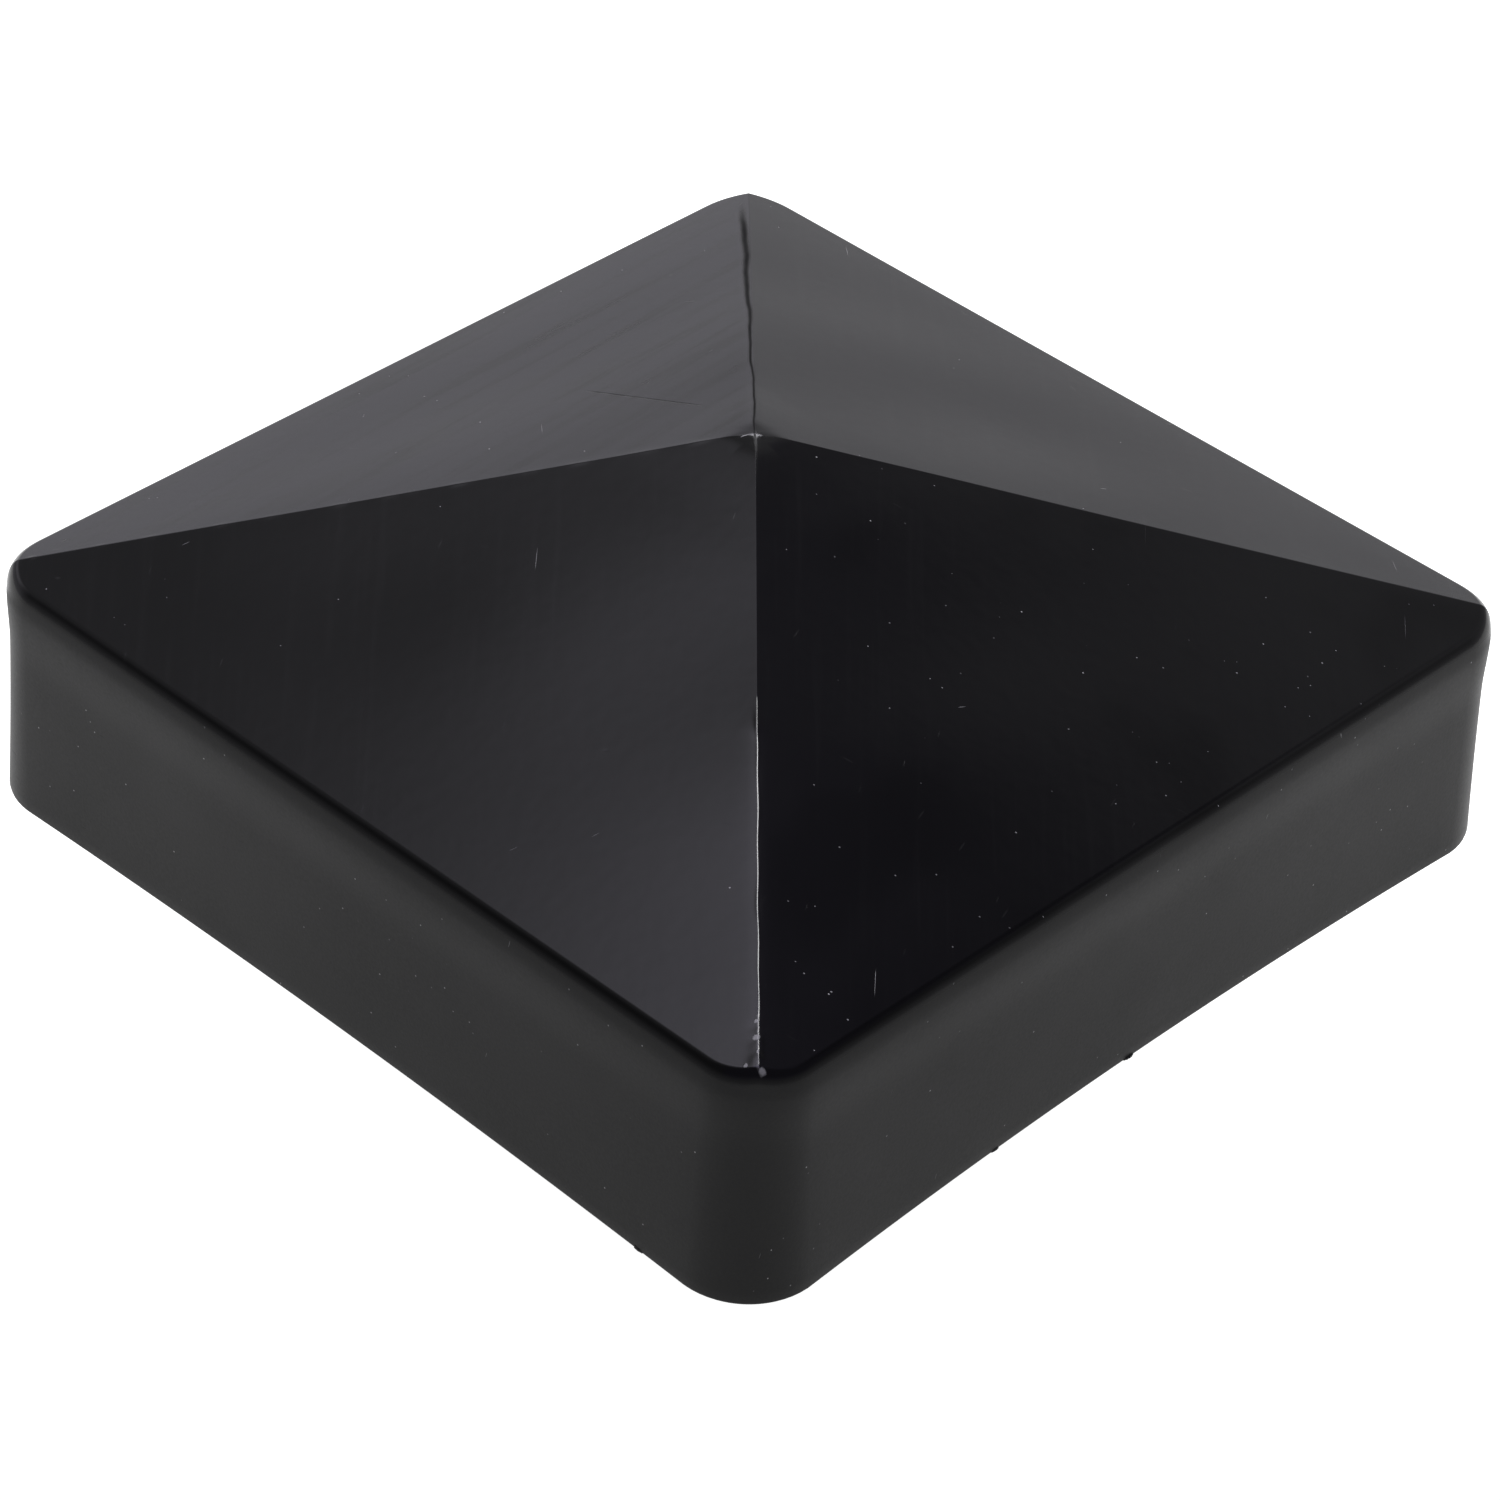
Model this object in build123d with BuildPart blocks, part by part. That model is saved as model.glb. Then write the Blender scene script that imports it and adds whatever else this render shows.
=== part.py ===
from build123d import *
from math import atan, cos, degrees
import os

# A pyramid cap for a square timber post, in two push-together halves. A fixing plate is screwed
# down on the end grain of the post, and the moulded cap presses onto it by four steel pegs in
# four rubber grommets, so no screw shows. The origin is on the ground plane of the rim, under the
# point of the pyramid; +Z is up, the walls face +X, -X, +Y and -Y, and "front" is -Y.

# Driving dimensions, in mm
POST = 100.0  # side of the square post
CAP_SIDE = 106.0  # outside of the cap across its walls, at the shoulder
SKIRT = 25.8  # rim to shoulder
RISE = 18.7  # shoulder to the point of the pyramid
WALL = 1.8  # thickness of the skirt
ROOF = 2.0  # thickness of the pyramid, square to its faces
CORNER = 7.0  # radius of the upright corners at the shoulder
SHOULDER_ROUND = 1.6  # rounding where the roof turns down into the skirt
FLARE = 0.95  # moulding draft: how much further out each wall stands at the rim
BOW_X = 1.35  # how far the rim of the +X and -X walls is drawn in at its middle
BOW_Y = 0.8  # the same for the +Y and -Y walls

POST_TOP = 16.0  # the skirt hides this much of the post
GASKET = 1.5  # thickness of the gasket
PLATE = 3.0  # thickness of the fixing plate
PEG_SPACING = 48.0  # between peg axes, both ways
PEG_RADIUS = 2.5
SCREW_SPACING = 72.0  # between screw holes, both ways
SCREW_HOLE_RADIUS = 2.25
RUNNING_FIT = 0.05  # radial clearance of a peg in its grommet

# Derived sizes
HALF = CAP_SIDE / 2
APEX = SKIRT + RISE
ROOF_DROP = ROOF / cos(atan(RISE / HALF))  # the roof's thickness measured straight down
BOW_TOP = SKIRT - 4.0  # the walls are flat from here up
PLATE_FOOT = POST_TOP + GASKET
PLATE_TOP = PLATE_FOOT + PLATE

# The turrets of the plate and the grommets in them
TURRET_TOP = PLATE_TOP + 5.5
TURRET_RADIUS = 7.4
GROMMET_WAIST_RADIUS = 4.6
GROMMET_LIP_RADIUS = 5.7
GROMMET_FLANGE_RADIUS = 6.2
GROMMET_FLANGE = 1.2
LIP_RECESS = 2.0  # depth of the recess under the plate that holds the grommet's lower lip
LIP_CLEARANCE = 0.1  # round the lip in its recess
SEAT = TURRET_TOP + GROMMET_FLANGE  # the cap's bosses rest here

# The pegs and the bosses that hold them
BOSS_RADIUS = 5.0
PEG_FOOT = PLATE_FOOT + 1.5
PEG_TOP = SEAT + 5.8
PEG_LEAD_IN = 0.8

CORNERS = {
    "front_left": (-1, -1),
    "front_right": (1, -1),
    "back_left": (-1, 1),
    "back_right": (1, 1),
}


def bowed_side(start, middle, end, bow):
    """One side of an outline: an arc through its drawn-in middle, or a straight line without a bow."""
    if bow > 0:
        ThreePointArc(start, middle, end)
    else:
        Line(start, end)


def rounded_square(height, half, corner, bow_x=0.0, bow_y=0.0):
    """A square outline at this height, with round corners and sides that can bow inwards."""
    flat = half - corner
    with BuildSketch(Plane.XY.offset(height)) as sketch:
        with BuildLine():
            CenterArc((flat, flat), corner, 0, 90)
            CenterArc((-flat, flat), corner, 90, 90)
            CenterArc((-flat, -flat), corner, 180, 90)
            CenterArc((flat, -flat), corner, 270, 90)
            for side in (-1, 1):
                x_wall = side * half
                bowed_side((x_wall, -flat), (x_wall - side * bow_x, 0), (x_wall, flat), bow_x)
                bowed_side((-flat, x_wall), (0, x_wall - side * bow_y), (flat, x_wall), bow_y)
        make_face()
    return sketch.sketch


def drafted_skirt(inset):
    """The skirt as a full block, each face set in from the outside: bowed below, plain above."""
    draft_at_bow_top = FLARE * (1 - BOW_TOP / SKIRT)
    rim_half = HALF + FLARE - inset
    rim_corner = CORNER + FLARE - inset
    plain_half = HALF + draft_at_bow_top - inset
    plain_corner = CORNER + draft_at_bow_top - inset
    rim = rounded_square(0, rim_half, rim_corner, BOW_X, BOW_Y)
    plain = rounded_square(BOW_TOP, plain_half, plain_corner)
    with BuildPart() as block:
        loft(sections=[rim, plain], ruled=True)
        extrude(plain, amount=APEX - BOW_TOP, taper=degrees(atan(FLARE / SKIRT)))
    return block.part


def pyramid_block(drop):
    """A block under the pyramid roof: two gabled prisms at right angles, and what they share."""
    reach = HALF + 4 * FLARE
    eaves = APEX - RISE * reach / HALF - drop
    gable = [(-reach, 0), (reach, 0), (reach, eaves), (0, APEX - drop), (-reach, eaves)]
    with BuildPart() as block:
        with BuildSketch(Plane.XZ):
            Polygon(*gable, align=None)
        extrude(amount=reach, both=True)
        with BuildSketch(Plane.YZ):
            Polygon(*gable, align=None)
        extrude(amount=reach, both=True, mode=Mode.INTERSECT)
    return block.part


def cap_outside():
    """The full outside of the cap, with its shoulder rounded."""
    with BuildPart() as outside:
        add(drafted_skirt(0))
        add(pyramid_block(0), mode=Mode.INTERSECT)
        roof_faces = outside.faces().filter_by(GeomType.PLANE).sort_by(Axis.Z)[-4:]
        hips = outside.edges().filter_by(lambda edge: edge.bounding_box().max.Z > APEX - 0.01)
        shoulder = ShapeList(edge for face in roof_faces for edge in face.edges() if edge not in hips)
        fillet(shoulder, SHOULDER_ROUND)
    return outside.part


def cap_inside():
    """The hollow of the cap: what its walls and roof leave free."""
    with BuildPart() as inside:
        add(drafted_skirt(WALL))
        add(pyramid_block(ROOF_DROP), mode=Mode.INTERSECT)
    return inside.part


def cap_stiffeners():
    """The bosses under the roof, the webs that tie them together, and the post's centring ribs."""
    web_thickness = 1.6
    web_foot = SEAT + 2.8
    rib_width = 1.8
    rib_spacing = 60.0
    rib_face = POST / 2 + 0.3
    rib_root = HALF - WALL / 2
    rib_foot, rib_shoulder, rib_top = 2.0, 5.0, 14.0
    rib_profile = [(rib_root, rib_foot), (rib_root, rib_top), (rib_face, rib_top), (rib_face, rib_shoulder)]
    with BuildPart() as stiffeners:
        with BuildSketch(Plane.XY.offset(SEAT)):
            with GridLocations(PEG_SPACING, PEG_SPACING, 2, 2):
                Circle(BOSS_RADIUS)
        extrude(amount=APEX - SEAT)
        with BuildSketch(Plane.XY.offset(web_foot)):
            with GridLocations(0, PEG_SPACING, 1, 2):
                Rectangle(PEG_SPACING, web_thickness)
            with GridLocations(PEG_SPACING, 0, 2, 1):
                Rectangle(web_thickness, PEG_SPACING)
        extrude(amount=APEX - web_foot)
        for upright in (Plane.XZ, Plane.YZ):
            for place in (-1, 1):
                with BuildSketch(upright.offset(place * rib_spacing / 2)):
                    Polygon(*rib_profile, align=None)
                    mirror(about=Plane.YZ)
                extrude(amount=rib_width / 2, both=True)
    return stiffeners.part


def make_cap_shell():
    """The moulded cap: skirt and pyramid in one thin wall, with its bosses, webs and ribs inside."""
    outside = cap_outside()
    with BuildPart() as cap_shell:
        add(cap_stiffeners())
        add(outside, mode=Mode.INTERSECT)
        with BuildPart(mode=Mode.PRIVATE) as wall:
            add(outside)
            add(cap_inside(), mode=Mode.SUBTRACT)
        add(wall.part)
        with Locations(Plane.XY.offset(SEAT)):
            with GridLocations(PEG_SPACING, PEG_SPACING, 2, 2):
                Cylinder(
                    PEG_RADIUS,
                    PEG_TOP - SEAT,
                    align=(Align.CENTER, Align.CENTER, Align.MIN),
                    mode=Mode.SUBTRACT,
                )
    return cap_shell.part


def make_peg(x_side, y_side):
    """A stainless dowel pressed into a boss of the cap, with a chamfered tip to find its grommet."""
    axis = Plane((x_side * PEG_SPACING / 2, y_side * PEG_SPACING / 2, PEG_FOOT))
    with BuildPart() as peg:
        with BuildSketch(axis):
            Circle(PEG_RADIUS)
        extrude(amount=PEG_TOP - PEG_FOOT)
        chamfer(peg.edges().sort_by(Axis.Z)[0], PEG_LEAD_IN)
    return peg.part


def make_grommet(x_side, y_side):
    """A rubber bush snapped into a turret of the plate, held by a lip below and a flange above."""
    lip_top = PLATE_FOOT + LIP_RECESS
    lip_foot = PLATE_FOOT + 0.4
    bore = PEG_RADIUS + RUNNING_FIT
    profile = [
        (bore, lip_foot),
        (GROMMET_LIP_RADIUS, lip_foot),
        (GROMMET_LIP_RADIUS, lip_top),
        (GROMMET_WAIST_RADIUS, lip_top),
        (GROMMET_WAIST_RADIUS, TURRET_TOP),
        (GROMMET_FLANGE_RADIUS, TURRET_TOP),
        (GROMMET_FLANGE_RADIUS, SEAT),
        (bore, SEAT),
    ]
    centre = Plane((x_side * PEG_SPACING / 2, y_side * PEG_SPACING / 2, 0))
    section = Plane(centre.origin, x_dir=(1, 0, 0), z_dir=(0, -1, 0))
    with BuildPart() as grommet:
        with BuildSketch(section):
            Polygon(*profile, align=None)
        revolve(axis=Axis(centre.origin, (0, 0, 1)))
    return grommet.part


def make_fixing_plate():
    """The moulded plate: a ribbed square with four turrets for the grommets and four screw pads."""
    plate_side = 96.0
    plate_corner = 6.0
    lip_width = 1.6
    lip_height = 1.5
    rib_thickness = 2.0
    rib_height = 3.0
    pad_radius = 6.5
    pad_height = 1.5
    countersink_radius = 4.4
    countersink_angle = 90
    with BuildPart() as plate:
        with BuildSketch(Plane.XY.offset(PLATE_FOOT)):
            RectangleRounded(plate_side, plate_side, plate_corner)
        extrude(amount=PLATE)
        with BuildSketch(Plane.XY.offset(PLATE_TOP)):
            RectangleRounded(plate_side, plate_side, plate_corner)
            offset(amount=-lip_width, mode=Mode.SUBTRACT)
        extrude(amount=lip_height)
        with BuildSketch(Plane.XY.offset(PLATE_TOP)):
            with GridLocations(0, PEG_SPACING, 1, 2):
                Rectangle(PEG_SPACING, rib_thickness)
            with GridLocations(PEG_SPACING, 0, 2, 1):
                Rectangle(rib_thickness, PEG_SPACING)
        extrude(amount=rib_height)
        with BuildSketch(Plane.XY.offset(PLATE_TOP)):
            with GridLocations(PEG_SPACING, PEG_SPACING, 2, 2):
                Circle(TURRET_RADIUS)
        extrude(amount=TURRET_TOP - PLATE_TOP)
        with BuildSketch(Plane.XY.offset(PLATE_TOP)):
            with GridLocations(SCREW_SPACING, SCREW_SPACING, 2, 2):
                Circle(pad_radius)
        extrude(amount=pad_height)
        with BuildSketch(Plane.XY.offset(PLATE_FOOT)):
            with GridLocations(PEG_SPACING, PEG_SPACING, 2, 2):
                Circle(GROMMET_WAIST_RADIUS)
        extrude(amount=TURRET_TOP - PLATE_FOOT, mode=Mode.SUBTRACT)
        with BuildSketch(Plane.XY.offset(PLATE_FOOT)):
            with GridLocations(PEG_SPACING, PEG_SPACING, 2, 2):
                Circle(GROMMET_LIP_RADIUS + LIP_CLEARANCE)
        extrude(amount=LIP_RECESS, mode=Mode.SUBTRACT)
        with Locations(Plane.XY.offset(PLATE_TOP + pad_height)):
            with GridLocations(SCREW_SPACING, SCREW_SPACING, 2, 2):
                CounterSinkHole(
                    SCREW_HOLE_RADIUS,
                    countersink_radius,
                    depth=PLATE + pad_height,
                    counter_sink_angle=countersink_angle,
                )
    return plate.part


def make_plate_gasket():
    """A flat rubber gasket between the plate and the post, with a hole for each screw."""
    gasket_side = 94.0
    gasket_corner = 5.0
    screw_clearance = 0.4
    with BuildPart() as gasket:
        with BuildSketch(Plane.XY.offset(POST_TOP)):
            RectangleRounded(gasket_side, gasket_side, gasket_corner)
            with GridLocations(SCREW_SPACING, SCREW_SPACING, 2, 2):
                Circle(SCREW_HOLE_RADIUS + screw_clearance, mode=Mode.SUBTRACT)
        extrude(amount=GASKET)
    return gasket.part


def save(piece, name):
    """Names a finished piece and writes it as a STEP file."""
    piece.label = name
    export_step(piece, f"parts/{name}.step")


os.makedirs("parts", exist_ok=True)

save(make_cap_shell(), "cap_shell")
save(make_fixing_plate(), "fixing_plate")
save(make_plate_gasket(), "plate_gasket")
for corner_name, (x_side, y_side) in CORNERS.items():
    save(make_peg(x_side, y_side), f"peg_{corner_name}")
    save(make_grommet(x_side, y_side), f"grommet_{corner_name}")
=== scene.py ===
import bmesh
import bpy
import math
import numpy as np
from mathutils import Matrix, Vector


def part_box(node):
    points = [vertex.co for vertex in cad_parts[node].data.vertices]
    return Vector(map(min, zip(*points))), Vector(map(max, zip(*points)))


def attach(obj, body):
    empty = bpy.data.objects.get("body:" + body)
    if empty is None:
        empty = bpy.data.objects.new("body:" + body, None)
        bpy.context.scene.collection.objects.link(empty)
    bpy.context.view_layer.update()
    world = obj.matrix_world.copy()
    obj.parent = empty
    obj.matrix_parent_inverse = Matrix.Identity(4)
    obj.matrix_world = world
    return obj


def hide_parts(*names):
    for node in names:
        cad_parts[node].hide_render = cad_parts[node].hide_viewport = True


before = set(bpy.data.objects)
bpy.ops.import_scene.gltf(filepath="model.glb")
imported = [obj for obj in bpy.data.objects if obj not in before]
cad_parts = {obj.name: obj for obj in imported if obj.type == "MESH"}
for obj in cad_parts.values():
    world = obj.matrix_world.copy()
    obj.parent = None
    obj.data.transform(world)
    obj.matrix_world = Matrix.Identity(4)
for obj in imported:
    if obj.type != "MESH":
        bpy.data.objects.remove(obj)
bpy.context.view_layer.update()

scene = bpy.context.scene
MM = 0.001


# ---------------------------------------------------------------------------------------------
# The table and the light. The cap stands on a white studio table in a room hung with white
# cloth, under one soft lamp, high up behind it and to its left. The camera's side is dark.
# ---------------------------------------------------------------------------------------------


class Value:
    """A number, vector or colour inside a node tree. Arithmetic on it adds the nodes for it."""

    def __init__(self, tree, socket=None):
        self.tree = tree
        self.socket = socket

    def node(self, kind, settings, inputs, output=0):
        """Adds a node: its settings first, then the values or links of its sockets."""
        made = self.tree.nodes.new("ShaderNode" + kind)
        for name, setting in settings.items():
            setattr(made, name, setting)
        for name, value in inputs.items():
            if isinstance(value, Value):
                self.tree.links.new(value.socket, made.inputs[name])
            else:
                made.inputs[name].default_value = value
        return Value(self.tree, made.outputs[output] if made.outputs else None)

    def math(self, operation, *others):
        inputs = dict(enumerate((self,) + others))
        return self.node("Math", {"operation": operation}, inputs)

    def __add__(self, other):
        return self.math("ADD", other)

    __radd__ = __add__

    def __sub__(self, other):
        return self.math("SUBTRACT", other)

    def __rsub__(self, other):
        return self.node("Math", {"operation": "SUBTRACT"}, {0: other, 1: self})

    def __mul__(self, other):
        return self.math("MULTIPLY", other)

    __rmul__ = __mul__

    def __truediv__(self, other):
        return self.math("DIVIDE", other)

    def squared(self):
        return self.math("POWER", 2.0)

    def clamp(self, low=0.0, high=1.0):
        return self.math("MAXIMUM", low).math("MINIMUM", high)

    def rise(self, low, high):
        """0 below low, 1 above high, and a soft step between."""
        limits = {"Value": self, "From Min": low, "From Max": high}
        return self.node("MapRange", {"interpolation_type": "SMOOTHSTEP"}, limits)

    def fall(self, low, high):
        """1 below low, 0 above high, and a soft step between."""
        return 1 - self.rise(low, high)

    def band(self, low, high, edge):
        """1 between low and high, fading over the edge's width outside them."""
        return self.rise(low - edge, low) * self.fall(high, high + edge)

    def split(self):
        """The three parts of a vector."""
        return [self.node("SeparateXYZ", {}, {0: self}, part) for part in range(3)]

    def join(self, x, y, z):
        return self.node("CombineXYZ", {}, {0: x, 1: y, 2: z})

    def tint(self, low, high):
        """A colour from low to high as this value goes from 0 to 1. Sockets 6 and 7 of a Mix
        node are its two colours, and its third output is the mixed colour."""
        inputs = {0: self, 6: (*low, 1.0), 7: (*high, 1.0)}
        return self.node("Mix", {"data_type": "RGBA"}, inputs, 2)


def towards_back_corner(x, y):
    """How far a place or a direction lies towards the back corner of the cap."""
    return y * 0.735 - x * 0.678


def make_floor():
    """A white table top. It glows, as a lit white sweep does, and most behind the cap. From
    below it is clear, so that the cap's underside can be seen."""
    half = 6.0
    corners = [(-half, -half, 0), (half, -half, 0), (half, half, 0), (-half, half, 0)]
    mesh = bpy.data.meshes.new("table_top")
    mesh.from_pydata(corners, [], [(0, 1, 2, 3)])
    floor = bpy.data.objects.new("table_top", mesh)
    scene.collection.objects.link(floor)
    paint = bpy.data.materials.new("table_white")
    paint.use_nodes = True
    paint.node_tree.nodes.clear()
    value = Value(paint.node_tree)
    x, y = value.node("TexCoord", {}, {}, 3).split()[:2]
    away = towards_back_corner(x, y)
    glow = 1.0 + 0.52 * away.rise(-0.055, 0.022) - 0.60 * away.rise(0.22, 0.60)
    bounce = value.node("BsdfDiffuse", {}, {"Color": (0.08, 0.08, 0.08, 1.0)})
    lit = value.node("Emission", {}, {"Color": glow, "Strength": 1.0})
    both = value.node("AddShader", {}, {0: bounce, 1: lit})
    clear = value.node("BsdfTransparent", {}, {})
    underside = value.node("NewGeometry", {}, {}, 6)
    seen = value.node("MixShader", {}, {0: underside, 1: both, 2: clear})
    value.node("OutputMaterial", {}, {"Surface": seen})
    mesh.materials.append(paint)


def make_studio_world():
    """The room as light from each direction: white cloth behind, up to the dim ceiling, the glow
    round the lamp, and the dark side of the room behind the camera."""
    world = bpy.data.worlds.new("studio")
    scene.world = world
    world.use_nodes = True
    world.node_tree.nodes.clear()
    value = Value(world.node_tree)
    x, y, z = value.node("TexCoord", {}, {}, 0).split()
    away = towards_back_corner(x, y)
    height = z.math("MAXIMUM", 0.05)
    lean_x, lean_y = x / height, y / height
    cloth = 0.75 - 0.26 * z + 0.20 * (0 - x).rise(0.56, 0.86)
    ceiling = lean_x.rise(-0.50, -0.30) * (lean_y - lean_x * 0.3).fall(0.785, 0.815)
    ceiling_light = 0.135 + 0.195 * (lean_y + lean_x * 0.2).fall(0.68, 0.75)
    cloth = cloth + 0.12 * z.rise(0.4, 0.6) * lean_x.rise(-0.50, -0.30)
    cloth = cloth * (1 - ceiling) + ceiling_light * ceiling
    dark_side = away.fall(-0.10, 0.20)
    room = cloth * (1 - dark_side) + (0.19 + 0.45 * z.fall(0.0, 0.5)) * dark_side
    lamp_glow = lean_x.rise(-0.78, -0.50) * lean_x.fall(0.10, 0.40) * lean_y.band(-0.05, 0.06, 0.22)
    room = room + lamp_glow * 2.6 * z.rise(0.30, 0.50)
    across = x * 0.735 + y * 0.678
    side_window = (0 - x).rise(0.60, 0.72) * z.band(0.42, 0.60, 0.08) * away.rise(0.15, 0.35)
    back_window = across.band(-0.09, 0.09, 0.04) * z.band(0.54, 0.68, 0.04) * away.rise(0.5, 0.6)
    room = room + side_window * 0.8 + back_window * 9.0
    bluish = ceiling * z.rise(0.2, 0.4) + lamp_glow * 0.3 + (0 - x).rise(0.55, 0.80) * 0.12
    shade = bluish.tint((1.0, 0.99, 1.04), (1.0, 0.93, 1.27))
    background = value.node("Background", {}, {"Color": shade, "Strength": room})
    value.node("OutputWorld", {}, {"Surface": background})


def make_softbox():
    """The lamp: a soft panel hung high over the table, behind the cap and to its left."""
    panel = bpy.data.lights.new("overhead_softbox", "AREA")
    panel.shape = "RECTANGLE"
    panel.size = 0.29  # in m
    panel.size_y = 0.37
    panel.energy = 7.5  # in W
    lamp = bpy.data.objects.new("overhead_softbox", panel)
    lamp.location = (-0.33, 0.385, 1.10)
    scene.collection.objects.link(lamp)


scene.view_settings.view_transform = "Standard"
scene.view_settings.gamma = 0.8
make_floor()
make_studio_world()
make_softbox()


# ---------------------------------------------------------------------------------------------
# The camera. It looks down at the cap from about half a metre away, over the front corner,
# with a long lens.
# ---------------------------------------------------------------------------------------------

CAP_SIDE = 106.0  # outside of the cap across its walls at the shoulder, in mm


def make_camera():
    azimuth = math.radians(42.71)
    elevation = math.radians(37.83)
    roll = math.radians(3.12)
    distance = 4.86 * CAP_SIDE * MM
    target = Vector((0.084, -0.083, 0.15)) * CAP_SIDE * MM
    level = math.cos(elevation)
    back = Vector((math.sin(azimuth) * level, -math.cos(azimuth) * level, math.sin(elevation)))
    right = (-back).cross(Vector((0, 0, 1))).normalized()
    up = right.cross(-back)
    lens = bpy.data.cameras.new("camera")
    lens.lens = 128.2
    lens.sensor_width = 36.0
    lens.clip_start = 0.01
    camera = bpy.data.objects.new("camera", lens)
    across = right * math.cos(roll) + up * math.sin(roll)
    upward = up * math.cos(roll) - right * math.sin(roll)
    turn = Matrix((across, upward, back)).transposed().to_4x4()
    camera.matrix_world = Matrix.Translation(target + back * distance) @ turn
    scene.collection.objects.link(camera)
    scene.camera = camera


make_camera()


# ---------------------------------------------------------------------------------------------
# The cap. One thin-walled moulding in glossy black plastic: a low pyramid with crisp hips over a
# short skirt that flares to its open rim. The mould's corner seams leave fine beads on the hips,
# and the free edges of the skirt have drawn in a little as it cooled.
# ---------------------------------------------------------------------------------------------

cad_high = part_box("cap_shell")[1]
SHOULDER = 25.8  # from the rim up to the shoulder, in mm like all that follows
APEX = cad_high.z / MM
HALF = CAP_SIDE / 2
RISE = APEX - SHOULDER
SLOPE = RISE / HALF
CORNER = 7.0  # radius of the upright corners
FLARE = cad_high.x / MM - HALF  # how far the rim stands out past the shoulder
BOW_X = 1.35  # how far the middle of a side wall's rim has drawn in
BOW_Y = 0.8  # the same for the front and back walls
BOW_TOP = 21.8  # the height over which no wall has drawn in
WALL = 1.8
ROOF_DROP = 2.0 * math.hypot(1, SLOPE)  # a 2 mm roof, measured straight down
SHOULDER_OUT, SHOULDER_UP = 1.6, 3.2  # reach of the shoulder's rounding, inwards and down
INSIDE_ROUND = 0.8
ROUND_STEPS = 14
APEX_SHIFT = np.array([-0.39, -0.36])  # the point stands slightly off centre
DRAFT_ANGLE = math.atan(FLARE / SHOULDER)
BEAD = 0.25  # how far the shoulder stands out over the wall under it
SHARP_HIP = 34.0  # the front hip is crisp for this far from the point
BLOB_PLACES = (66.9, 68.3, 69.7)  # where the end of the front hip is blunt, from the point
# Lumps of burr there: distance from the point, place across the hip, and height.
BURR_LUMPS = [(66.9, 0.0, 0.10), (68.3, 0.03, 0.12), (69.7, 0.0, 0.12), (71.2, -0.5, 0.04)]
# Spots of painted highlight on that burr: distance from the point, place across the hip, and reach.
BURR_HIGHLIGHT_SPOTS = [
    (66.3, -0.25, 0.30), (68.0, -0.25, 0.42), (69.5, -0.10, 0.22), (71.4, 0.30, 0.38),
    (70.7, -1.2, 0.26),
]


def ring_layout(arc_steps, side_count):
    """Fixed places round the cap: for each vertex its outward normal, its spot at the shoulder
    line and how much of each wall's bow it takes. Each ring of the cap uses the same layout."""
    half_arc = np.radians(arc_steps)
    arc = np.concatenate([-half_arc[:0:-1], half_arc]) + math.pi / 4
    flat = HALF - CORNER
    run = np.linspace(1, -1, side_count + 1)[1:-1]
    spots, normals, bows = [], [], []
    for quarter in range(4):
        turn = np.array([[0, -1], [1, 0]])
        turn = np.linalg.matrix_power(turn, quarter)
        round_normals = np.stack([np.cos(arc), np.sin(arc)], 1)
        side_normals = np.tile([0.0, 1.0], (len(run), 1))
        round_spots = np.array([flat, flat]) + CORNER * round_normals
        side_spots = np.stack([run * flat, np.full(len(run), HALF)], 1)
        bow = BOW_Y if quarter % 2 == 0 else BOW_X
        spots.append(np.concatenate([round_spots, side_spots]) @ turn.T)
        normals.append(np.concatenate([round_normals, side_normals]) @ turn.T)
        bows.append(np.concatenate([np.zeros(len(arc)), bow * (1 - run**2)]))
    return np.concatenate(spots), np.concatenate(normals), np.concatenate(bows)


def ease(value, low, high):
    """A soft step from 0 at low to 1 at high, for numbers."""
    t = np.clip((value - low) / (high - low), 0, 1)
    return t * t * (3 - 2 * t)


def seam_waver(along, sine):
    """How far the back hip's seam strays to the side, in mm, as it runs out from the point."""
    waver = 0.08 * sine(along * 0.31 + 1) + 0.04 * sine(along * 0.71)
    waver = waver + 0.012 * sine(along * 1.9 + 2)
    return waver + along * 0.009


def hip_relief(x, y):
    """Small relief along the four hips, in mm: the front bead, the back crease and the nicks."""
    along_front = (x - y) / math.sqrt(2)
    lateral_front = (x + y) / math.sqrt(2)
    jog = -0.12 * (1 - ease(along_front, 31, 36)) * ease(along_front, 5, 9)
    sway = 0.05 * np.sin(along_front * 0.9) + 0.04 * np.sin(along_front * 0.31 + 1)
    on_front = np.exp(-(((lateral_front - jog - sway) / 0.17) ** 2))
    swell = 0.75 + 0.25 * np.sin(along_front * 0.55) * np.sin(along_front * 0.21)
    bead = 0.035 * ease(along_front, 32, 35) * swell
    lumps = sum(
        height * np.exp(-((along_front - place) ** 2 / 0.22 + (lateral_front - side) ** 2 / 0.16))
        for place, side, height in BURR_LUMPS
    )
    relief = on_front * bead * (1 - ease(along_front, 67, 69)) * (along_front > 0) + lumps

    along_back = (y - x) / math.sqrt(2)
    lateral_back = -lateral_front
    crease = np.exp(-(((lateral_back - seam_waver(along_back, np.sin)) / 0.16) ** 2))
    relief = relief - 0.022 * crease * ease(along_back, 1, 4) * (1 - ease(along_back, 66, 71))

    along_left = (-x - y) / math.sqrt(2)
    nicks = np.clip(np.sin(along_left * 0.83) * np.sin(along_left * 1.9 + 1) - 0.35, 0, 1)
    relief = relief + 0.035 * nicks * np.exp(-(((x - y) / 0.4) ** 2)) * (along_left > 2)
    return relief


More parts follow.
